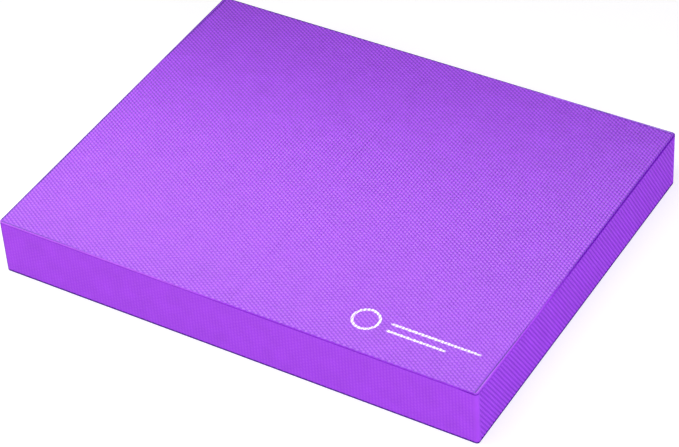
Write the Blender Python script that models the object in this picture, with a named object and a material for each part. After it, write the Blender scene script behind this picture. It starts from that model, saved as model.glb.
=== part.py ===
"""Balance pad: a thick block of closed-cell foam that a person stands on.

Metres, +Z up. The origin is the centre of the underside, +X runs along the long side and
+Y along the short side. The block is a stack of foam plies bonded by heat. A denser moulded
skin covers it: a sheet on top, a sheet below and a band round the edge. A small mark is
printed on the top sheet. Pieces that are bonded in the real pad keep a fine gap here.
"""

import math

import bmesh
import bpy

# Driving dimensions
LENGTH = 0.476
WIDTH = 0.375
THICKNESS = 0.057
CORNER_RADIUS = 0.003  # upright corners, seen from above
EDGE_RADIUS = 0.0012  # rim of the top and bottom sheets
SKIN = 0.0015  # moulded skin, all round
PLY_COUNT = 7
GAP = 0.0003  # between pieces that touch

# Printed mark: a ring and two bars with round ends, near one corner of the top
INK = 0.0004
RING_RADIUS = 0.013
RING_STROKE = 0.0024
BAR_HEIGHT = 0.0024
LONG_BAR = 0.084
SHORT_BAR = 0.056
BAR_SPACING = 0.009  # between the bars' centre lines
RING_TO_BARS = 0.0085
MARK_FROM_END = 0.0185  # right end of the long bar to the short side of the pad
MARK_FROM_SIDE = 0.0375  # middle of the mark to the long side of the pad

CORNER_STEPS = 8  # straight pieces in a quarter circle of the pad's outline
EDGE_STEPS = 3
ROUND_STEPS = 24  # straight pieces in a half circle of the mark

BOX_X = LENGTH / 2
BOX_Y = WIDTH / 2
CORE_LOW = SKIN + GAP
CORE_HIGH = THICKNESS - SKIN - GAP


def clear_scene():
    """Remove every object of the scene that Blender starts with."""
    for item in list(bpy.data.objects):
        bpy.data.objects.remove(item, do_unlink=True)


def make_material(name, colour, roughness):
    """A plain Principled material with no metal in it."""
    material = bpy.data.materials.new(name)
    material.use_nodes = True
    shader = material.node_tree.nodes["Principled BSDF"]
    shader.inputs["Base Color"].default_value = (*colour, 1.0)
    shader.inputs["Roughness"].default_value = roughness
    shader.inputs["Metallic"].default_value = 0.0
    return material


def finish_object(name, shape, material):
    """Turn a bmesh into a smooth-shaded object with one material."""
    bmesh.ops.recalc_face_normals(shape, faces=shape.faces)
    mesh = bpy.data.meshes.new(name)
    shape.to_mesh(mesh)
    shape.free()
    mesh.shade_smooth()
    mesh.set_sharp_from_angle(angle=math.radians(35))
    mesh.materials.append(material)
    made = bpy.data.objects.new(name, mesh)
    bpy.context.collection.objects.link(made)
    return made


def arc(centre_x, centre_y, radius, start, end, steps):
    """Points on a circular arc, both ends included, angles in degrees."""
    angles = [math.radians(start + (end - start) * i / steps) for i in range(steps + 1)]
    return [(centre_x + radius * math.cos(a), centre_y + radius * math.sin(a)) for a in angles]


def pad_outline(inset):
    """The pad's outline from above, moved inwards by inset, anticlockwise."""
    radius = CORNER_RADIUS - inset
    x = BOX_X - CORNER_RADIUS
    y = BOX_Y - CORNER_RADIUS
    corners = ((x, y, 0), (-x, y, 90), (-x, -y, 180), (x, -y, 270))
    points = []
    for corner_x, corner_y, start in corners:
        points += arc(corner_x, corner_y, radius, start, start + 90, CORNER_STEPS)
    return points


def bar_outline(centre_x, centre_y, length, height):
    """A bar with round ends, anticlockwise."""
    radius = height / 2
    reach = length / 2 - radius
    right = arc(centre_x + reach, centre_y, radius, -90, 90, ROUND_STEPS)
    left = arc(centre_x - reach, centre_y, radius, 90, 270, ROUND_STEPS)
    return right + left


def circle_outline(centre_x, centre_y, radius):
    """A full circle, anticlockwise, with its last point left out."""
    return arc(centre_x, centre_y, radius, 0, 360, 2 * ROUND_STEPS)[:-1]


def extruded(outline, low, high):
    """A closed prism on one outline."""
    shape = bmesh.new()
    bottom = shape.faces.new([shape.verts.new((x, y, low)) for x, y in outline])
    lifted = bmesh.ops.extrude_face_region(shape, geom=[bottom], use_keep_orig=True)
    top = [v for v in lifted["geom"] if isinstance(v, bmesh.types.BMVert)]
    bmesh.ops.translate(shape, verts=top, vec=(0, 0, high - low))
    return shape


def extruded_ring(outer, inner, low, high):
    """A closed ring between two outlines that have the same number of points."""
    shape = bmesh.new()
    loops = []
    for outline, z in ((outer, low), (outer, high), (inner, high), (inner, low)):
        loops.append([shape.verts.new((x, y, z)) for x, y in outline])
    count = len(outer)
    for here, there in zip(loops, loops[1:] + loops[:1]):
        for i in range(count):
            j = (i + 1) % count
            shape.faces.new((here[i], here[j], there[j], there[i]))
    return shape


def sheet(name, low, high, rim, material):
    """A skin sheet as large as the pad, rounded along the rim at height rim."""
    shape = extruded(pad_outline(0), low, high)
    edges = [e for e in shape.edges if all(abs(v.co.z - rim) < 1e-6 for v in e.verts)]
    bmesh.ops.bevel(
        shape, geom=edges, offset=EDGE_RADIUS, segments=EDGE_STEPS, profile=0.5, affect="EDGES"
    )
    return finish_object(name, shape, material)


def cut_recess(target, name, shape, material):
    """Sink a shape into target with a Boolean whose cutter stays in the file, unseen."""
    cutter = finish_object(name, shape, material)
    cutter.hide_render = True
    cutter.display_type = "WIRE"
    cut = target.modifiers.new(name, "BOOLEAN")
    cut.operation = "DIFFERENCE"
    cut.solver = "EXACT"
    cut.object = cutter


def build_core(foam):
    """The stack of equal foam plies inside the skin."""
    gaps = (PLY_COUNT - 1) * GAP
    thickness = (CORE_HIGH - CORE_LOW - gaps) / PLY_COUNT
    for i in range(PLY_COUNT):
        low = CORE_LOW + i * (thickness + GAP)
        shape = extruded(pad_outline(SKIN + GAP), low, low + thickness)
        finish_object(f"core_ply_{i + 1}", shape, foam)


def build_skin(skin):
    """The moulded skin: two sheets and the band between them. Returns the top sheet."""
    sheet("bottom_skin", 0, SKIN, 0, skin)
    band = extruded_ring(pad_outline(0), pad_outline(SKIN), CORE_LOW, CORE_HIGH)
    finish_object("side_skin", band, skin)
    return sheet("top_skin", THICKNESS - SKIN, THICKNESS, THICKNESS, skin)


def build_mark(top_skin, ink, skin):
    """The printed ring and bars, let into the top sheet so that it stays flat."""
    bars_end = BOX_X - MARK_FROM_END
    bars_start = bars_end - LONG_BAR
    ring_x = bars_start - RING_TO_BARS - RING_RADIUS
    mark_y = MARK_FROM_SIDE - BOX_Y
    low = THICKNESS - INK

    def ring(grow, base):
        outer = circle_outline(ring_x, mark_y, RING_RADIUS + grow)
        inner = circle_outline(ring_x, mark_y, RING_RADIUS - RING_STROKE - grow)
        return extruded_ring(outer, inner, base, THICKNESS + grow)

    def bar(length, row, grow, base):
        centre_x = bars_start + length / 2
        centre_y = mark_y + row * BAR_SPACING / 2
        outline = bar_outline(centre_x, centre_y, length + 2 * grow, BAR_HEIGHT + 2 * grow)
        return extruded(outline, base, THICKNESS + grow)

    finish_object("print_ring", ring(0, low), ink)
    finish_object("print_bar_long", bar(LONG_BAR, 1, 0, low), ink)
    finish_object("print_bar_short", bar(SHORT_BAR, -1, 0, low), ink)
    cut_recess(top_skin, "ring_recess", ring(GAP, low - GAP), skin)
    cut_recess(top_skin, "long_bar_recess", bar(LONG_BAR, 1, GAP, low - GAP), skin)
    cut_recess(top_skin, "short_bar_recess", bar(SHORT_BAR, -1, GAP, low - GAP), skin)


def main():
    clear_scene()
    skin = make_material("moulded_foam_skin", (0.290, 0.042, 0.750), 0.65)
    foam = make_material("closed_cell_foam", (0.360, 0.090, 0.790), 0.85)
    ink = make_material("white_ink", (0.93, 0.92, 0.93), 0.5)
    build_core(foam)
    top_skin = build_skin(skin)
    build_mark(top_skin, ink, skin)


main()
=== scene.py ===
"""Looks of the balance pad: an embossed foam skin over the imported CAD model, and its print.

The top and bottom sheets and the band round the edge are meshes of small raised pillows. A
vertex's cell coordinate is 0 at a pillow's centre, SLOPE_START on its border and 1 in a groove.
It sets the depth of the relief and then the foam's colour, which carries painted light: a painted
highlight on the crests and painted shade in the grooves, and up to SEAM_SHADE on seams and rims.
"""

import math

import bmesh
import bpy
import numpy as np
from mathutils import Matrix, Vector
from mathutils.bvhtree import BVHTree


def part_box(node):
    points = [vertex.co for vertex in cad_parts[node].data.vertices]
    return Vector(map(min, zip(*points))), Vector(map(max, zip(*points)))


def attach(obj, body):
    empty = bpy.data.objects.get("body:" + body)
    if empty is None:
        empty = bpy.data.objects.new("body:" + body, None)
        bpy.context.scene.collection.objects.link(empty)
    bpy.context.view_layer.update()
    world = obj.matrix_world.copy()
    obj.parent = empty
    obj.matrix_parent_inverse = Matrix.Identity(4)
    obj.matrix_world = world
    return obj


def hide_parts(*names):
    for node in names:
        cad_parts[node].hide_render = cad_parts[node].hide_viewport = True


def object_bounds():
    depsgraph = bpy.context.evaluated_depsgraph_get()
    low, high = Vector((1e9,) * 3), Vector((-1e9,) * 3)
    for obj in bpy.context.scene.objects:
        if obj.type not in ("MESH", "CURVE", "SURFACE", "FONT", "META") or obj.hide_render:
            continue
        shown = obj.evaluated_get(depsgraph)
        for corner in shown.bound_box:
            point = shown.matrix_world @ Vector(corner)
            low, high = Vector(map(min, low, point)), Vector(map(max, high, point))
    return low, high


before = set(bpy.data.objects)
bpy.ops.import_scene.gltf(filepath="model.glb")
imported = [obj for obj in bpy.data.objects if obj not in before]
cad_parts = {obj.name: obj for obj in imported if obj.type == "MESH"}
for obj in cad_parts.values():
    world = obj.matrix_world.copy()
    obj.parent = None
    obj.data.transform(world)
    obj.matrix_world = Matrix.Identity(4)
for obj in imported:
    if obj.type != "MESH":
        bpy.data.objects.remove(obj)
cad_low, cad_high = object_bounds()

MM = 0.001

# The CAD frame: half sizes of the pad, its skin and the gaps between the skin's pieces
HALF_X = cad_high.x
HALF_Y = cad_high.y
TOP = cad_high.z
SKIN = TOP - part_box("top_skin")[0].z
CORNER_RADIUS = 3.0 * MM
SEAM_GAP = 0.05 * MM

# Embossing: a honeycomb of small raised pillows with narrow grooves between them
TOP_COLUMN = 3.05 * MM  # between columns of pillows, which run along Y on the top
TOP_PITCH = 3.5 * MM  # between pillows of a column
LONG_SIDE_COLUMN = 3.05 * MM  # columns stand upright on the long sides
LONG_SIDE_PITCH = 3.5 * MM
SHORT_SIDE_ROW = 3.03 * MM  # rows lie level on the short sides, a little stretched
SHORT_SIDE_PITCH = 4.0 * MM
TOP_RIB = (math.cos(math.radians(-36)), math.sin(math.radians(-36)))  # way that the pillows are drawn out
TOP_TURN = math.radians(0.2)  # the texture is not quite square to the pad's edges
LAND_LONG, LAND_WIDE = 0.86, 0.42  # a pillow's crest along and across its rib, as shares of a cell
SLOPE_START = 0.5
GROOVE = 0.75 * MM  # depth of the grooves
CROWN = 0.15 * MM  # drop from a pillow's centre to its border
LONG_SIDE_DEPTH = 0.28  # relief of the long sides, as a share of the top's
SHORT_SIDE_DEPTH = 0.68
# The sides' mean colours are painted light: lighter on the long sides, darker on the short ones
LONG_SIDE_SHADE, SHORT_SIDE_SHADE = 0.34, 0.5  # cell coordinates of the sides' mean colours
# The colour's contrast falls with the relief towards the front, which lightens the top there: painted
# light
FRONT_RELIEF = 0.8  # the top's relief is this share of the full one along its front side
FRONT_REACH = 0.3 * HALF_Y  # it is full from here to the back
WAVE = 0.10 * MM  # slow unevenness of the faces

# Smooth strips along half of each edge of the top, which taper away to mid-length. Their colour
# is lighter too, a painted highlight
LONG_STRIP, SHORT_STRIP = 2.0 * MM, 2.8 * MM  # widest, on the long and the short sides
STRIP_RELIEF = 0.15  # share of the relief left on them
STRIP_START, STRIP_END = -0.2 * MM, 0.6 * MM  # the relief comes back here, past a strip's line
CREASE = 0.7 * MM  # depth of the line beside a strip
CREASE_WIDTH = 0.55 * MM
CREASE_FADE = 0.8 * MM  # the line dies away this near the rim
# The line's dark colour is painted shade
CREASE_SHADE = 1.8  # cell coordinate in the middle of the line

# Edges and seams; a seam's colour is painted shade, darker the more it gapes
EDGE = 0.9 * MM  # radius of the pad's top and bottom edges
EDGE_ANGLES = (30, 60, 90)
SEAM_SHUT, SEAM_GAPING = 0.15 * MM, 1.1 * MM  # how far the seam under an edge is drawn in
SEAM_ROLL = 0.6 * MM  # height of the rounding on both sides of the seam
SEAM_RINGS = ((0.06, 0.35), (0.25, 0.6), (1.0, 1.0))  # its steps, as shares of depth and height
SEAM_SPREAD = 1.5  # the colour reaches full depth this many times as early as the height
OPEN_CORNER = 16 * MM  # stretch of gaping seam at the front corner
CORNER_OPEN_FRONT, CORNER_OPEN_RIGHT = 0.9, 0.8  # how far it gapes there, on the two sides
RIGHT_OPEN = (0.35, 1.0)  # how far the seam gapes on the right side, from front to back
RIGHT_OPENS = (-0.35 * HALF_Y, 0.25 * HALF_Y)
HIDDEN_OPEN = 0.5  # and on the two sides at the back
# Rim colours: a painted highlight where the coordinate is low, painted shade where it is high
RIGHT_RIM = (0.3, 1.0)  # cell coordinate of the right side's rim, from front to back
RIGHT_RIM_TURNS = (-0.5 * HALF_Y, 0)
FRONT_RIM = (0, 0.6)  # cell coordinate of the front side's rim, from left to right
FRONT_RIM_TURNS = (-0.3 * HALF_X, 0.1 * HALF_X)
CORNER_FADE = 2.0 * MM  # the texture dies away this far from the upright corners
CORNER_STEPS = 3  # copies of a face's end column round each half of a corner

# Meshing
SHARP = math.radians(50)
SNAP = 0.01 * MM  # cuts pass through vertices that are this near
TOUCH = 0.001 * MM  # points nearer than this count as one

# Print
INK = 0.04 * MM  # thickness
INK_GRID = 0.3 * MM
INK_REACH = 0.62 * MM  # the ink takes only on parts that lie less deep than this
INK_PROBE = 10 * MM  # the sheet's height is looked up from this far above
RING_STROKE = 2.4 * MM

# Foam colours: crest, a painted highlight; slope's top; groove and darkest seams, painted shade
FOAM_CREST_HIGHLIGHT = (0.44, 0.102, 0.80)
FOAM_SLOPE = (0.33, 0.047, 0.74)
FOAM_GROOVE_SHADE = (0.13, 0.006, 0.41)
FOAM_SEAM_SHADE = (0.055, 0.002, 0.25)
SEAM_SHADE = 2.0
MOTTLE = 0.1  # the foam's tone varies by this much either way
GLOSS_SPREAD = 0.05

# Camera: a long lens from the front right, above, with the horizon a little tilted
CAMERA_PLACE = (0.9807, -1.5162, 1.5374)
CAMERA_AHEAD = (-0.4398, 0.6224, -0.6475)
CAMERA_ROLL = math.radians(-5.54)

# Light
FLOOR_HALF = 12
PAD_MIDDLE = (0, 0, 0.03)
PAD_FRONT = (0, -0.24, 0.057)
SOFTBOX = (0.6, 0.6)
STRIP_BOX = (0.9, 0.195)
COOL_WHITE = (0.8, 0.72, 1.0)  # the light on the right is a little blue
HORIZON, ZENITH = 0.6, 0.32  # strengths of the world

# Tone: linear up to the shoulder's start, then softly up to white
SHOULDER = 0.3
SHOULDER_START = 0.6
SHOULDER_STEPS = 5
WHITE_LIGHT = 1 + SHOULDER * (1 - SHOULDER_START) ** 2


# ---------------------------------------------------------------- embossed fields


def hexagon(column, pitch):
    """Corners of one honeycomb cell, anticlockwise from the one at +u."""
    u, v = column / 3, pitch / 2
    return np.array([(2 * u, 0), (u, v), (-u, v), (-2 * u, 0), (-u, -v), (u, -v)])


def cell_depth(cells):
    """Depth below a pillow's centre at a cell coordinate from 0 to 1."""
    on_crest = CROWN * cells / SLOPE_START
    on_slope = CROWN + (GROOVE - CROWN) * (cells - SLOPE_START) / (1 - SLOPE_START)
    return np.where(cells < SLOPE_START, on_crest, on_slope)


def crest_shape(rib):
    """The matrix that shrinks a cell to its crest, which is drawn out along a rib."""
    along = np.array(rib) / math.hypot(*rib)
    return LAND_WIDE * np.eye(2) + (LAND_LONG - LAND_WIDE) * np.outer(along, along)


def honeycomb(width, height, column, pitch, rib):
    """Pillows drawn out along rib that cover a rectangle round the origin.

    Returns the points, their cell coordinates, the crests' triangles and the slopes' quads.
    """
    columns = 2 * math.ceil(width / column / 2 + 2)
    rows = math.ceil(height / pitch) + 4
    i, j = np.meshgrid(np.arange(columns), np.arange(rows), indexing="ij")
    odd = i % 2
    centre_u = (i - columns / 2) * column
    centre_v = (j - rows / 2 + 0.5 * odd) * pitch
    centres = np.stack([centre_u, centre_v], axis=-1)
    corners = hexagon(column, pitch)
    lands = centres[:, :, None, :] + corners @ crest_shape(rib)
    right = centres + corners[0]
    left = centres + corners[3]
    count = columns * rows
    points = np.concatenate([g.reshape(-1, 2) for g in (centres, lands, right, left)])
    cells = np.concatenate([np.zeros(count), np.full(6 * count, SLOPE_START), np.ones(2 * count)])

    whole = (i > 0) & (i < columns - 1) & (j > 0) & (j < rows - 1)
    i, j = i[whole], j[whole]
    above, below = j + i % 2, j + i % 2 - 1
    centre = i * rows + j
    land = [count + 6 * centre + k for k in range(6)]
    first_right, first_left = 7 * count, 8 * count
    floor = [
        first_right + i * rows + j,
        first_left + (i + 1) * rows + above,
        first_right + (i - 1) * rows + above,
        first_left + i * rows + j,
        first_right + (i - 1) * rows + below,
        first_left + (i + 1) * rows + below,
    ]
    crests, slopes = [], []
    for k in range(6):
        n = (k + 1) % 6
        crests.append(np.stack([centre, land[k], land[n]], axis=1))
        slopes.append(np.stack([land[k], floor[k], floor[n], land[n]], axis=1))
    return points, cells, np.concatenate(crests), np.concatenate(slopes)


def keep_used(points, cells, triangles, quads):
    """Drop points that no face uses."""
    used = np.unique(np.concatenate([triangles.ravel(), quads.ravel()]))
    renumber = np.zeros(len(points), int)
    renumber[used] = np.arange(len(used))
    return points[used], cells[used], renumber[triangles], renumber[quads]


def field_shape(points, cells, triangles, quads):
    """A flat bmesh of a honeycomb; each vertex keeps its cell coordinate in a float layer."""
    mesh = bpy.data.meshes.new("field")
    flat = np.column_stack([points, np.zeros(len(points))])
    mesh.from_pydata(flat.tolist(), [], triangles.tolist() + quads.tolist())
    cell = mesh.attributes.new("cell", "FLOAT", "POINT")
    cell.data.foreach_set("value", cells.astype(np.float32))
    shape = bmesh.new()
    shape.from_mesh(mesh)
    bpy.data.meshes.remove(mesh)
    return shape


def clip(shape, low_u, high_u, low_v, high_v):
    """Cut a flat bmesh off at four straight lines."""
    for axis, limit, way in ((0, low_u, -1), (0, high_u, 1), (1, low_v, -1), (1, high_v, 1)):
        place, normal = Vector((0, 0, 0)), Vector((0, 0, 0))
        place[axis], normal[axis] = limit, way
        geom = shape.verts[:] + shape.edges[:] + shape.faces[:]
        bmesh.ops.bisect_plane(
            shape, geom=geom, dist=SNAP, plane_co=place, plane_no=normal, clear_outer=True
        )
        for v in shape.verts:
            if abs(v.co[axis] - limit) < 2 * SNAP:
                v.co[axis] = limit


def boundary_loops(shape):
    """The closed chains of boundary vertices, in order. A dict keeps the order the same each run."""
    edges = dict.fromkeys(e for e in shape.edges if e.is_boundary)
    loops = []
    while edges:
        first = next(iter(edges))
        del edges[first]
        chain = list(first.verts)
        while True:
            onward = next((e for e in chain[-1].link_edges if e in edges), None)
            if onward is None:
                break
            del edges[onward]
            chain.append(onward.other_vert(chain[-1]))
        if chain[-1] is chain[0]:
            chain.pop()
        loops.append(chain)
    return loops


def add_ring(shape, loop, places, shades):
    """A new closed chain of vertices at places, joined to loop by quads.

    Shades are the new vertices' cell coordinates.
    """
    ring = [shape.verts.new(p) for p in places]
    cell = shape.verts.layers.float["cell"]
    for new, shade in zip(ring, shades):
        new[cell] = shade
    for k in range(len(loop)):
        n = (k + 1) % len(loop)
        shape.faces.new((loop[k], loop[n], ring[n], ring[k]))
    return ring


def zip_chains(shape, one, other, key, closed):
    """Triangles between two chains with different numbers of vertices, both in order of key."""
    one, other = sorted(one, key=key), sorted(other, key=key)
    a, b = [key(v) for v in one], [key(v) for v in other]
    if closed:
        turn = 2 * math.pi
        one, a = one + one[:1], a + [a[0] + turn]
        other, b = other + other[:1], b + [b[0] + turn]
    i = j = 0
    while i < len(one) - 1 or j < len(other) - 1:
        step_one = j == len(other) - 1 or (i < len(one) - 1 and a[i + 1] <= b[j + 1])
        if step_one:
            shape.faces.new((one[i], one[i + 1], other[j]))
            i += 1
        else:
            shape.faces.new((one[i], other[j + 1], other[j]))
            j += 1


def outward(x, y):
    """Unit normal of the pad's outline at a point on or near it, seen from above."""
    u = max(abs(x) - (HALF_X - CORNER_RADIUS), 0)
    v = max(abs(y) - (HALF_Y - CORNER_RADIUS), 0)
    length = math.hypot(u, v)
    if length < TOUCH:
        return Vector((0, 0, 0))
    return Vector((math.copysign(u, x), math.copysign(v, y), 0)) / length


def unevenness(x, y):
    """Slow waves of the top and bottom faces, from 0 to 1; the factors are in radians per metre."""
    a = np.sin(17 * x + 5 * y + 0.6) * np.cos(11 * y - 7 * x)
    b = np.sin(31 * y + 1.3) * np.cos(23 * x + 0.4)
    return 0.5 + 0.3 * a + 0.2 * b


def finish_mesh(name, shape, *materials):
    """Turn a bmesh into a smooth-shaded piece; the grooves' lines stay crisp."""
    bmesh.ops.recalc_face_normals(shape, faces=shape.faces)
    mesh = bpy.data.meshes.new(name)
    shape.to_mesh(mesh)
    shape.free()
    mesh.shade_smooth()
    mesh.set_sharp_from_angle(angle=SHARP)
    for material in materials:
        mesh.materials.append(material)
    piece = bpy.data.objects.new(name, mesh)
    bpy.context.collection.objects.link(piece)
    return piece


# ---------------------------------------------------------------- top and bottom sheets


def top_cells(points):
    """Turn the top's honeycomb by its small angle."""
    c, s = math.cos(TOP_TURN), math.sin(TOP_TURN)
    return points @ np.array([[c, s], [-s, c]])


def round_corners(shape, half_x, half_y, radius):
    """Squeeze the square corners of a flat rectangle into round ones."""
    for v in shape.verts:
        u, w = abs(v.co.x) - (half_x - radius), abs(v.co.y) - (half_y - radius)
        if u > 0 and w > 0:
            scale = max(u, w) / math.hypot(u, w)
            v.co.x = math.copysign(half_x - radius + u * scale, v.co.x)
            v.co.y = math.copysign(half_y - radius + w * scale, v.co.y)


def ramp(value, start, end):
    """A smooth step from 0 at start to 1 at end."""
    share = min(max((value - start) / (end - start), 0), 1)
    return share * share * (3 - 2 * share)


def between(pair, share):
    """The value at a share of the way from the first of a pair to the second."""
    return pair[0] + (pair[1] - pair[0]) * share


def seam_open(x, y, below):
    """How far the seam under an edge gapes, from 0, shut, to 1; the lower seam gapes all round."""
    if below:
        return 1.0
    front_corner = math.exp(-((math.hypot(x - HALF_X, y + HALF_Y) / OPEN_CORNER) ** 2))
    if x > HALF_X - CORNER_RADIUS:
        along = between(RIGHT_OPEN, ramp(y, *RIGHT_OPENS))
        return max(along, CORNER_OPEN_RIGHT * front_corner)
    if y < 0 and x > -HALF_X + CORNER_RADIUS:
        return CORNER_OPEN_FRONT * front_corner
    return HIDDEN_OPEN


def seam_depth(x, y, below):
    """How far the seam is drawn in."""
    return between((SEAM_SHUT, SEAM_GAPING), seam_open(x, y, below))


def rim_highlight_and_shade(x, y, below):
    """Cell coordinate of the rim: painted shade, darkest underneath and on the top's back and left
    sides; on the front and right sides it is lighter, a painted highlight towards the left and front.
    """
    if below:
        return SEAM_SHADE
    if x > HALF_X - CORNER_RADIUS:
        return between(RIGHT_RIM, ramp(y, *RIGHT_RIM_TURNS))
    if y < -HALF_Y + CORNER_RADIUS:
        return between(FRONT_RIM, ramp(x, *FRONT_RIM_TURNS))
    return SEAM_SHADE


def strip_lines():
    """The strips' inner lines on the top, each as a point and a unit normal that points inwards."""
    lines = []
    for turn in (1, -1):
        corner = Vector((turn * (HALF_X - SHORT_STRIP), -turn * HALF_Y, 0))
        normal = Vector((-turn * HALF_Y, turn * SHORT_STRIP, 0)).normalized()
        lines.append((corner, normal))
        corner = Vector((-turn * HALF_X, -turn * (HALF_Y - LONG_STRIP), 0))
        normal = Vector((turn * LONG_STRIP, turn * HALF_X, 0)).normalized()
        lines.append((corner, normal))
    return lines


def strip_edge(x, y):
    """Distance of a point inside the strips' inner lines; negative on a strip."""
    place = Vector((x, y, 0))
    return min((place - point).dot(normal) for point, normal in strip_lines())


def top_relief(x, y, cell):
    """Depth and cell coordinate of the top: pillows, slow waves, smooth strips and creases.

    The cell coordinate is lower on the strips and towards the front, a painted highlight, and high in
    the creases, painted shade.
    """
    off = strip_edge(x, y)
    relief = between((STRIP_RELIEF, 1), ramp(off, STRIP_START, STRIP_END))
    relief *= between((FRONT_RELIEF, 1), ramp(y, -HALF_Y, FRONT_REACH))
    from_side = min(HALF_X - abs(x), HALF_Y - abs(y))
    crease = math.exp(-((off / CREASE_WIDTH) ** 2)) * ramp(from_side, EDGE, EDGE + CREASE_FADE)
    depth = float(cell_depth(cell)) * relief + WAVE * float(unevenness(x, y)) + CREASE * crease
    return depth, max(cell * relief, CREASE_SHADE * crease)


def score_strips(shape):
    """Add edges along the strips' inner lines and on both sides of them."""
    for point, normal in strip_lines():
        for offset in (-CREASE_WIDTH, 0, CREASE_WIDTH):
            geom = shape.verts[:] + shape.edges[:] + shape.faces[:]
            place = point + normal * offset
            bmesh.ops.bisect_plane(shape, geom=geom, dist=SNAP, plane_co=place, plane_no=normal)


def on_rim(p, half_x, half_y, radius):
    """Whether a border point lies on the rim of the flat part, not on the line between the halves."""
    u, w = abs(p.x) - (half_x - radius), abs(p.y) - (half_y - radius)
    in_corner = u > 0 and w > 0 and math.hypot(u, w) > radius - TOUCH
    return in_corner or max(abs(p.x) - half_x, abs(p.y) - half_y) > -TOUCH


def sheet_half(name, side, face_material, rim_material, below=False):
    """Half of a sheet, lying as the top one does; the halves meet in the grooves of a column.

    Below is for the seam and rim of the bottom sheet. The rim has its own, duller material.
    """
    half_x, half_y, radius = HALF_X - EDGE, HALF_Y - EDGE, CORNER_RADIUS - EDGE
    points, cells, triangles, quads = honeycomb(2 * HALF_X, 2 * HALF_Y, TOP_COLUMN, TOP_PITCH, TOP_RIB)
    centre_u = points[triangles[:, 0], 0]
    half = (centre_u < -TOP_COLUMN / 2) if side < 0 else (centre_u >= -TOP_COLUMN / 2)
    in_half = np.zeros(len(points), bool)
    in_half[triangles[half]] = True
    quads = quads[in_half[quads[:, 0]]]
    points, cells, triangles, quads = keep_used(points, cells, triangles[half], quads)
    shape = field_shape(top_cells(points), cells, triangles, quads)
    clip(shape, -half_x, half_x, -half_y, half_y)
    score_strips(shape)
    cell = shape.verts.layers.float["cell"]
    round_corners(shape, half_x, half_y, radius)
    for v in shape.verts:
        depth, v[cell] = top_relief(v.co.x, v.co.y, v[cell])
        v.co.z = TOP - depth
    (loop,) = boundary_loops(shape)
    starts = [v.co.copy() for v in loop]
    rim = [on_rim(p, half_x, half_y, radius) for p in starts]
    normals = [outward(p.x, p.y) if r else Vector((0, 0, 0)) for p, r in zip(starts, rim)]
    # The rim is painted with shade, and with a highlight on parts of the front and right rims
    shades = [rim_highlight_and_shade(p.x, p.y, below) if r else 1.0 for p, r in zip(starts, rim)]
    for v, r, shade in zip(loop, rim, shades):
        v[cell] = max(v[cell], shade) if r else v[cell]
    flat_faces = set(shape.faces)
    for angle in EDGE_ANGLES:
        a = math.radians(angle)
        places = []
        for p, n in zip(starts, normals):
            z = TOP - (TOP - p.z) * (1 - math.sin(a)) - EDGE * (1 - math.cos(a))
            places.append(Vector((p.x, p.y, z)) + n * EDGE * math.sin(a))
        loop = add_ring(shape, loop, places, shades)
    reaches = [EDGE - seam_depth(p.x, p.y, below) for p in starts]
    places = [Vector((p.x, p.y, TOP - SKIN)) + n * r for p, n, r in zip(starts, normals, reaches)]
    # Painted shade under the rim
    loop = add_ring(shape, loop, places, [SEAM_SHADE] * len(places))
    shape.faces.new(loop)
    for face in set(shape.faces) - flat_faces:
        face.material_index = 1
    return finish_mesh(name, shape, face_material, rim_material)


def turned_over(piece):
    """Mirror half of a sheet to the underside."""
    piece.data.transform(Matrix.Translation((0, 0, TOP)) @ Matrix.Scale(-1, 4, (0, 0, 1)))
    piece.data.flip_normals()
    return piece


# ---------------------------------------------------------------- the band round the edge


def side_field(straight, height, upright):
    """The honeycomb of one side, flat, centred: u runs along the side and v up it."""
    if upright:
        points, cells, triangles, quads = honeycomb(
            straight, height, LONG_SIDE_COLUMN, LONG_SIDE_PITCH, rib=(0, 1)
        )
    else:
        points, cells, triangles, quads = honeycomb(
            height, straight, SHORT_SIDE_ROW, SHORT_SIDE_PITCH, rib=(SHORT_SIDE_ROW, SHORT_SIDE_PITCH / 2)
        )
        points = points[:, ::-1] * np.array([1, -1])
    points, cells, triangles, quads = keep_used(points, cells, triangles, quads)
    shape = field_shape(points, cells, triangles, quads)
    clip(shape, -straight / 2, straight / 2, -height / 2, height / 2)
    return shape


def height_of(v):
    """Height of a vertex."""
    return v.co.z


def angle_of(v):
    """Angle of a vertex round the pad's middle, seen from above."""
    return math.atan2(v.co.y, v.co.x)


def add_side_face(shape, turn, low, high):
    """One textured face of the band, a number of quarter turns from the front.

    Returns the vertices of its first and last columns.
    """
    cell = shape.verts.layers.float["cell"]
    long_side = turn % 2 == 0
    straight = 2 * ((HALF_X if long_side else HALF_Y) - CORNER_RADIUS)
    reach = HALF_Y if long_side else HALF_X
    depth_share = LONG_SIDE_DEPTH if long_side else SHORT_SIDE_DEPTH
    mean_shade = LONG_SIDE_SHADE if long_side else SHORT_SIDE_SHADE
    spin = Matrix.Rotation(math.radians(90 * turn), 3, "Z")
    field = side_field(straight, high - low, upright=long_side)
    field_cell = field.verts.layers.float["cell"]
    made = {}
    for v in field.verts:
        relief = depth_share * ramp(straight / 2 - abs(v.co.x), 0, CORNER_FADE)
        depth = float(cell_depth(v[field_cell])) * relief
        place = Vector((v.co.x, depth - reach, v.co.y + (low + high) / 2))
        made[v] = shape.verts.new(spin @ place)
        # Painted light: the side's lighter or darker mean, with crests lighter and grooves darker by the
        # relief
        made[v][cell] = mean_shade + (v[field_cell] - SLOPE_START) * relief
    for f in field.faces:
        shape.faces.new([made[v] for v in f.verts])
    first = [made[v] for v in field.verts if v.co.x < TOUCH - straight / 2]
    last = [made[v] for v in field.verts if v.co.x > straight / 2 - TOUCH]
    field.free()
    return first, last


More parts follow.
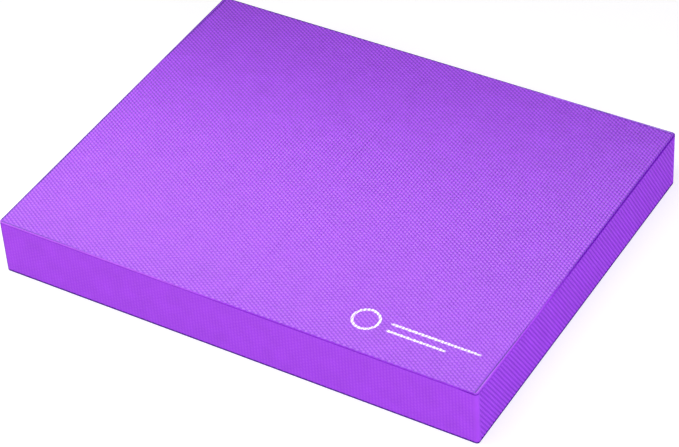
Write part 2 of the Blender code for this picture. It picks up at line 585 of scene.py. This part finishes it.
def rotated_column(shape, column, corner, degrees, shade):
    """A copy of an upright column of vertices, turned about a corner's axis and joined to it."""
    cell = shape.verts.layers.float["cell"]
    column = sorted(column, key=height_of)
    spin = Matrix.Rotation(math.radians(degrees), 3, "Z")
    copy = [shape.verts.new(corner + spin @ (v.co - corner)) for v in column]
    for v in copy:
        v[cell] = shade
    for k in range(len(column) - 1):
        shape.faces.new((column[k], column[k + 1], copy[k + 1], copy[k]))
    return copy


def add_corner(shape, sign_x, sign_y, before, after):
    """A plain round corner between the last column of a face and the first of the next.

    Its colour is painted shade, darker than the faces, except at the front.
    """
    corner = Vector((sign_x * (HALF_X - CORNER_RADIUS), sign_y * (HALF_Y - CORNER_RADIUS), 0))
    front = sign_x > 0 > sign_y
    step = 90 / (2 * CORNER_STEPS + 1)
    for k in range(CORNER_STEPS):
        shade = LONG_SIDE_SHADE + (0 if front else (k + 1) / CORNER_STEPS)
        before = rotated_column(shape, before, corner, step, shade)
        after = rotated_column(shape, after, corner, -step, shade)
    zip_chains(shape, before, after, height_of, closed=False)


def add_seam(shape, loop, edge, up):
    """Round one border of the band into its seam. Returns the border of the band's back."""
    starts = [(v.co.copy(), outward(v.co.x, v.co.y)) for v in loop]
    below = up < 0
    opens = [seam_open(p.x, p.y, below) for p, _ in starts]
    for inset, rise in SEAM_RINGS:
        places = []
        for p, n in starts:
            place = Vector((p.x, p.y, edge + up * rise * SEAM_ROLL))
            places.append(place - n * inset * seam_depth(p.x, p.y, below))
        # The seam's colour is painted shade, darker the more it gapes and the deeper into it
        shades = [SEAM_SHADE * min(SEAM_SPREAD * rise * share, 1) for share in opens]
        loop = add_ring(shape, loop, places, [max(SLOPE_START, shade) for shade in shades])
    back = []
    for p, n in starts:
        on_outline = p + n * outline_gap(p)
        back.append(Vector((on_outline.x, on_outline.y, edge + up * SEAM_ROLL)) - n * SKIN)
    return add_ring(shape, loop, back, [0.0] * len(back))


def side_band(name, material):
    """The embossed band: four textured faces, smooth upright corners and a plain back."""
    low, high = SKIN + SEAM_GAP + SEAM_ROLL, TOP - SKIN - SEAM_GAP - SEAM_ROLL
    shape = bmesh.new()
    shape.verts.layers.float.new("cell")
    ends = [add_side_face(shape, turn, low, high) for turn in range(4)]
    for turn, (sign_x, sign_y) in enumerate(((1, -1), (1, 1), (-1, 1), (-1, -1))):
        add_corner(shape, sign_x, sign_y, before=ends[turn][1], after=ends[(turn + 1) % 4][0])
    backs = []
    for loop in boundary_loops(shape):
        up = 1 if loop[0].co.z > (low + high) / 2 else -1
        backs.append(add_seam(shape, loop, high if up > 0 else low, up))
    zip_chains(shape, backs[0], backs[1], angle_of, closed=True)
    return finish_mesh(name, shape, material)


def outline_gap(p):
    """Distance from a point of the band out to the pad's full outline."""
    u, v = abs(p.x) - (HALF_X - CORNER_RADIUS), abs(p.y) - (HALF_Y - CORNER_RADIUS)
    if u > 0 and v > 0:
        return CORNER_RADIUS - math.hypot(u, v)
    return min(HALF_X - abs(p.x), HALF_Y - abs(p.y))


# ---------------------------------------------------------------- print


def in_ring(x, y, centre, half):
    """Whether a point is on the ring whose box has this centre and half size."""
    return half.x - RING_STROKE < math.hypot(x - centre.x, y - centre.y) < half.x


def in_bar(x, y, centre, half):
    """Whether a point is on the round-ended bar whose box has this centre and half size."""
    over = max(abs(x - centre.x) - half.x + half.y, 0)
    return math.hypot(over, y - centre.y) < half.y


def ink_piece(node, inside, under, material):
    """Ink over the raised parts of the sheet: small squares that fit a printed node's box."""
    low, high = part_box(node)
    centre, half = (low + high) / 2, (high - low) / 2
    count_x, count_y = round((high.x - low.x) / INK_GRID), round((high.y - low.y) / INK_GRID)
    xs, ys = np.linspace(low.x, high.x, count_x + 1), np.linspace(low.y, high.y, count_y + 1)
    shape = bmesh.new()
    made = {}

    def sheet_height(x, y):
        return under.ray_cast(Vector((x, y, TOP + INK_PROBE)), Vector((0, 0, -1)))[0].z

    def corner(i, j):
        if (i, j) not in made:
            made[i, j] = shape.verts.new((xs[i], ys[j], sheet_height(xs[i], ys[j]) + INK))
        return made[i, j]

    for i in range(count_x):
        for j in range(count_y):
            x, y = (xs[i] + xs[i + 1]) / 2, (ys[j] + ys[j + 1]) / 2
            if inside(x, y, centre, half) and TOP - sheet_height(x, y) < INK_REACH:
                square = ((i, j), (i + 1, j), (i + 1, j + 1), (i, j + 1))
                shape.faces.new([corner(*place) for place in square])
    border = [e.verts[:] for e in shape.edges if e.is_boundary]
    lower = {v: shape.verts.new(v.co - Vector((0, 0, 2 * INK))) for v in shape.verts[:]}
    for face in shape.faces[:]:
        shape.faces.new([lower[v] for v in face.verts])
    for a, b in border:
        shape.faces.new((a, b, lower[b], lower[a]))
    return finish_mesh(node.replace("print", "ink"), shape, material)


def print_mark(sheet, material):
    """The printed ring and bars, where the CAD model has them: each piece and its node."""
    mesh = sheet.data
    under = BVHTree.FromPolygons([v.co for v in mesh.vertices], [p.vertices for p in mesh.polygons])
    marks = (("print_ring", in_ring), ("print_bar_long", in_bar), ("print_bar_short", in_bar))
    return [(ink_piece(node, inside, under, material), node) for node, inside in marks]


# ---------------------------------------------------------------- materials


def principled(name, roughness):
    """A new material, its node tree and its Principled shader."""
    material = bpy.data.materials.new(name)
    material.use_nodes = True
    tree = material.node_tree
    shader = tree.nodes["Principled BSDF"]
    shader.inputs["Roughness"].default_value = roughness
    return material, tree, shader


def foam_skin_material(name, roughness, specular, level):
    """Purple moulded foam skin: coloured by cell coordinate, with mottling and a fine grain.

    The colours by cell coordinate are a painted highlight on the crests and painted shade in the
    grooves, seams and rims. Specular is the specular level, and level is the mean brightness
    of the colour.
    """
    material, tree, shader = principled(name, roughness)
    shader.inputs["Specular IOR Level"].default_value = specular
    nodes, link = tree.nodes, tree.links.new
    place = nodes.new("ShaderNodeTexCoord").outputs["Object"]
    cell = nodes.new("ShaderNodeAttribute")
    cell.attribute_name = "cell"
    share = nodes.new("ShaderNodeMapRange")
    share.inputs["From Max"].default_value = SEAM_SHADE
    link(cell.outputs["Fac"], share.inputs["Value"])
    colours = nodes.new("ShaderNodeValToRGB")
    stops = colours.color_ramp.elements
    stops[0].color = (*FOAM_CREST_HIGHLIGHT, 1)
    stops[1].color = (*FOAM_SEAM_SHADE, 1)
    stops.new(SLOPE_START / SEAM_SHADE).color = (*FOAM_SLOPE, 1)
    stops.new(1 / SEAM_SHADE).color = (*FOAM_GROOVE_SHADE, 1)
    link(share.outputs["Result"], colours.inputs["Fac"])
    mottle = nodes.new("ShaderNodeTexNoise")
    mottle.inputs["Scale"].default_value = 60
    mottle.inputs["Detail"].default_value = 4
    link(place, mottle.inputs["Vector"])
    patches = nodes.new("ShaderNodeMapRange")
    patches.inputs["To Min"].default_value = level - MOTTLE
    patches.inputs["To Max"].default_value = level + MOTTLE
    link(mottle.outputs["Fac"], patches.inputs["Value"])
    tone = nodes.new("ShaderNodeMix")
    tone.data_type = "RGBA"
    tone.blend_type = "MULTIPLY"
    tone.inputs["Factor"].default_value = 1
    link(colours.outputs["Color"], tone.inputs["A"])
    link(patches.outputs["Result"], tone.inputs["B"])
    link(tone.outputs["Result"], shader.inputs["Base Color"])

    grain = nodes.new("ShaderNodeTexNoise")
    grain.inputs["Scale"].default_value = 2600
    grain.inputs["Detail"].default_value = 2
    link(place, grain.inputs["Vector"])
    bump = nodes.new("ShaderNodeBump")
    bump.inputs["Strength"].default_value = 0.25
    bump.inputs["Distance"].default_value = 0.12 * MM
    link(grain.outputs["Fac"], bump.inputs["Height"])
    link(bump.outputs["Normal"], shader.inputs["Normal"])
    gloss = nodes.new("ShaderNodeMapRange")
    gloss.inputs["To Min"].default_value = roughness - GLOSS_SPREAD
    gloss.inputs["To Max"].default_value = roughness + GLOSS_SPREAD
    link(mottle.outputs["Fac"], gloss.inputs["Value"])
    link(gloss.outputs["Result"], shader.inputs["Roughness"])
    return material


def foam_core_material():
    """Cut foam of the inner plies, with open pores on its surface."""
    material, tree, shader = principled("foam_core", 0.85)
    nodes, link = tree.nodes, tree.links.new
    place = nodes.new("ShaderNodeTexCoord").outputs["Object"]
    pores = nodes.new("ShaderNodeTexVoronoi")
    pores.inputs["Scale"].default_value = 1400
    link(place, pores.inputs["Vector"])
    tone = nodes.new("ShaderNodeMix")
    tone.data_type = "RGBA"
    tone.inputs["A"].default_value = (0.38, 0.12, 0.78, 1)
    tone.inputs["B"].default_value = (0.50, 0.18, 0.88, 1)
    link(pores.outputs["Distance"], tone.inputs["Factor"])
    link(tone.outputs["Result"], shader.inputs["Base Color"])
    bump = nodes.new("ShaderNodeBump")
    bump.inputs["Strength"].default_value = 0.4
    bump.inputs["Distance"].default_value = 0.2 * MM
    link(pores.outputs["Distance"], bump.inputs["Height"])
    link(bump.outputs["Normal"], shader.inputs["Normal"])
    return material


def ink_material():
    """White ink, a little uneven over the foam."""
    material, tree, shader = principled("white_ink", 0.5)
    nodes, link = tree.nodes, tree.links.new
    place = nodes.new("ShaderNodeTexCoord").outputs["Object"]
    noise = nodes.new("ShaderNodeTexNoise")
    noise.inputs["Scale"].default_value = 900
    link(place, noise.inputs["Vector"])
    tone = nodes.new("ShaderNodeMix")
    tone.data_type = "RGBA"
    tone.inputs["A"].default_value = (0.90, 0.84, 0.93, 1)
    tone.inputs["B"].default_value = (0.97, 0.95, 0.98, 1)
    link(noise.outputs["Fac"], tone.inputs["Factor"])
    link(tone.outputs["Result"], shader.inputs["Base Color"])
    return material


# ---------------------------------------------------------------- camera, light and floor


def make_camera():
    """The camera of the main view."""
    data = bpy.data.cameras.new("camera")
    data.sensor_width = 36
    data.lens = 139.85
    data.shift_x = 0.117
    data.shift_y = 0.0096
    camera = bpy.data.objects.new("camera", data)
    bpy.context.collection.objects.link(camera)
    level = Vector(CAMERA_AHEAD).to_track_quat("-Z", "Y").to_matrix()
    turn = level @ Matrix.Rotation(CAMERA_ROLL, 3, "Z")
    camera.matrix_world = Matrix.Translation(CAMERA_PLACE) @ turn.to_4x4()
    bpy.context.scene.camera = camera


def area_light(name, place, aim, size, power, colour=(1, 1, 1)):
    """A rectangular light whose first side runs along X as nearly as its aim allows."""
    data = bpy.data.lights.new(name, "AREA")
    data.shape = "RECTANGLE"
    data.size, data.size_y = size
    data.energy = power
    data.color = colour
    lamp = bpy.data.objects.new(name, data)
    back = (Vector(place) - Vector(aim)).normalized()
    side = (Vector((1, 0, 0)) - back * back.x).normalized()
    turn = Matrix((side, back.cross(side), back)).transposed()
    lamp.matrix_world = Matrix.Translation(place) @ turn.to_4x4()
    lamp.visible_camera = False
    bpy.context.collection.objects.link(lamp)


def set_tone():
    """Plain colours with a soft shoulder towards white."""
    view = bpy.context.scene.view_settings
    view.view_transform = "Standard"
    view.use_curve_mapping = True
    curve = view.curve_mapping.curves[3]  # the one for all three colours
    view.curve_mapping.clip_max_x = WHITE_LIGHT
    curve.points[1].location = (WHITE_LIGHT, 1)
    for step in range(SHOULDER_STEPS):
        level = SHOULDER_START + step * (1 - SHOULDER_START) / SHOULDER_STEPS
        curve.points.new(level + SHOULDER * (level - SHOULDER_START) ** 2, level)
    view.curve_mapping.update()


def make_world():
    """A white world, brightest below and at the horizon and dimmer overhead."""
    world = bpy.data.worlds.new("world")
    world.use_nodes = True
    nodes, link = world.node_tree.nodes, world.node_tree.links.new
    background = nodes["Background"]
    background.inputs["Color"].default_value = (1, 1, 1, 1)
    split = nodes.new("ShaderNodeSeparateXYZ")
    link(nodes.new("ShaderNodeTexCoord").outputs["Generated"], split.inputs["Vector"])
    fade = nodes.new("ShaderNodeMapRange")
    fade.interpolation_type = "SMOOTHSTEP"
    fade.inputs["From Min"].default_value = 0.12
    fade.inputs["From Max"].default_value = 0.32
    fade.inputs["To Min"].default_value = HORIZON
    fade.inputs["To Max"].default_value = ZENITH
    link(split.outputs["Z"], fade.inputs["Value"])
    link(fade.outputs["Result"], background.inputs["Strength"])
    bpy.context.scene.world = world


def make_floor():
    """A matt white floor that glows, so that it stays white under soft shadows."""
    mesh = bpy.data.meshes.new("floor")
    signs = ((-1, -1), (1, -1), (1, 1), (-1, 1))
    mesh.from_pydata([(FLOOR_HALF * x, FLOOR_HALF * y, 0) for x, y in signs], [], [(0, 1, 2, 3)])
    material, _, shader = principled("floor", 0.9)
    shader.inputs["Base Color"].default_value = (0.5, 0.5, 0.5, 1)
    shader.inputs["Specular IOR Level"].default_value = 0
    shader.inputs["Emission Color"].default_value = (1, 1, 1, 1)
    shader.inputs["Emission Strength"].default_value = 0.64
    mesh.materials.append(material)
    floor = bpy.data.objects.new("floor", mesh)
    bpy.context.collection.objects.link(floor)


def make_lights():
    """Four soft boxes above and around the pad, and a long one low over it, aimed at its front."""
    area_light("overhead", (0, -0.4, 1.2), PAD_MIDDLE, SOFTBOX, 4.4)
    area_light("front left", (-1.376, -0.795, 0.845), PAD_MIDDLE, SOFTBOX, 11.4)
    area_light("front right", (1.376, -0.795, 0.845), PAD_MIDDLE, SOFTBOX, 15.6, COOL_WHITE)
    area_light("back right", (0.912, 1.302, 0.845), PAD_MIDDLE, SOFTBOX, 2.1)
    area_light("strip", (-0.1, 0.039, 0.35), PAD_FRONT, STRIP_BOX, 1.22)


# ---------------------------------------------------------------- build


def dress(piece, slot, *nodes):
    """Tie a piece to the CAD frame: its body and the CAD nodes that it stands for; slot is not used."""
    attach(piece, "root")
    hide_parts(*nodes)


def build_skin():
    """The two halves of each sheet, and the band. Returns the half that carries the print."""
    sheet = foam_skin_material("sheet_skin", roughness=0.4, specular=0.9, level=1.0)
    # The edge skin's lower level makes the band and rims a little darker than the sheets: painted shade
    edge = foam_skin_material("edge_skin", roughness=0.5, specular=0.04, level=0.95)
    for side, word in ((-1, "left"), (1, "right")):
        top = sheet_half(f"top_sheet_{word}", side, sheet, edge)
        bottom = turned_over(sheet_half(f"bottom_sheet_{word}", side, sheet, edge, below=True))
        dress(top, "foam_skin", "top_skin")
        dress(bottom, "foam_skin", "bottom_skin")
    band = side_band("side_band", edge)
    dress(band, "foam_skin", "side_skin")
    return top


def main():
    """Set the stage, make the skin and the print, and colour the CAD model's plies."""
    make_camera()
    make_world()
    make_floor()
    make_lights()
    set_tone()
    printed_half = build_skin()
    core = foam_core_material()
    for name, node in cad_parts.items():
        if name.startswith("core_ply"):
            node.data.materials[0] = core
    for piece, node in print_mark(printed_half, ink_material()):
        dress(piece, "print_ink", node)


main()
